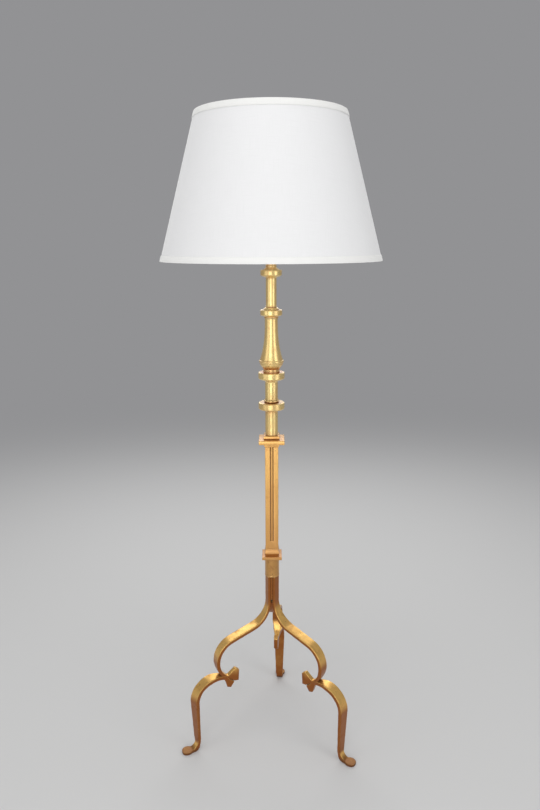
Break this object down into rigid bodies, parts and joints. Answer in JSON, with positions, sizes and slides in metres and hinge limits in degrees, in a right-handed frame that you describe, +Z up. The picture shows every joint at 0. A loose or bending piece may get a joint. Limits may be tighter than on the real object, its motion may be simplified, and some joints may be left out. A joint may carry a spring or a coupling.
{
  "type": "candlestick floor lamp",
  "caption": "Floor lamp with a tripod of scrolled flat bars, a gilded column of turned and square pieces, and an empire shade on a harp.",
  "frame": {"origin": "on the floor, on the column's axis", "axes": "+Z up along the column, one leg points to +Y, the switch knob points to -Y and the harp lies across X"},
  "size_m": [0.5399, 0.54, 1.6764],
  "materials": {
    "gilt_legs": "aged gold leaf over a red ground, semi-gloss",
    "gilt_column": "aged gold leaf over a red ground, semi-gloss",
    "steel": "plain steel",
    "brass": "plated, satin",
    "black_plastic": "moulded black",
    "card": "pressed fibre",
    "frosted_glass": "frosted white",
    "shade_linen": "off-white hardback fabric",
    "trim_linen": "off-white folded self trim"
  },
  "bodies": {
    "stand": {"leg_scroll_1": "gilt_legs", "leg_scroll_2": "gilt_legs", "leg_scroll_3": "gilt_legs", "leg_bar_1": "gilt_legs", "leg_bar_2": "gilt_legs", "leg_bar_3": "gilt_legs", "hub_core": "gilt_legs", "pipe_washer": "steel", "pipe_locknut": "steel", "pipe_bushing": "black_plastic", "lamp_pipe": "brass", "hub_collar": "gilt_column", "foot_plate": "gilt_column", "foot_moulding": "gilt_column", "square_shaft": "gilt_column", "reed_1": "gilt_column", "reed_2": "gilt_column", "reed_3": "gilt_column", "reed_4": "gilt_column", "cap_neck": "gilt_column", "cap_plate": "gilt_column", "cap_step": "gilt_column", "lower_stem": "gilt_column", "lower_disk": "gilt_column", "middle_stem": "gilt_column", "upper_disk": "gilt_column", "vase": "gilt_column", "collar_knop": "gilt_column", "top_stem": "gilt_column", "top_knop": "gilt_column", "neck": "gilt_column", "check_ring": "brass", "riser": "brass", "harp_saddle": "brass", "harp": "brass", "socket_cap": "brass", "socket_shell": "brass", "socket_liner": "card", "switch_body": "black_plastic", "screw_shell": "brass", "centre_contact": "brass"},
    "shade": {"shade_spider": "brass", "shade_bottom_ring": "brass", "shade_fabric": "shade_linen", "shade_top_trim": "trim_linen", "shade_bottom_trim": "trim_linen"},
    "finial": {"finial": "gilt_column"},
    "switch_knob": {"switch_knob": "black_plastic"},
    "bulb": {"bulb_base": "brass", "bulb_glass": "frosted_glass"},
    "ferrule_left": {"ferrule_left": "brass"},
    "ferrule_right": {"ferrule_right": "brass"}
  },
  "joints": [
    {"name": "shade_turn", "type": "hinge", "parent": "stand", "child": "shade", "pos_m": [0, 0, 1.6282], "axis": [0, 0, 1], "continuous": true},
    {"name": "finial_unscrew", "type": "slide", "parent": "stand", "child": "finial", "axis": [0, 0, 1], "range_m": [0, 0.012]},
    {"name": "switch_turn", "type": "hinge", "parent": "stand", "child": "switch_knob", "pos_m": [0, -0.017, 1.343], "axis": [0, -1, 0], "continuous": true},
    {"name": "bulb_unscrew", "type": "slide", "parent": "stand", "child": "bulb", "axis": [0, 0, 1], "range_m": [0, 0.016]},
    {"name": "ferrule_left_lift", "type": "slide", "parent": "stand", "child": "ferrule_left", "axis": [0, 0, 1], "range_m": [0, 0.012]},
    {"name": "ferrule_right_lift", "type": "slide", "parent": "stand", "child": "ferrule_right", "axis": [0, 0, 1], "range_m": [0, 0.012]}
  ]
}
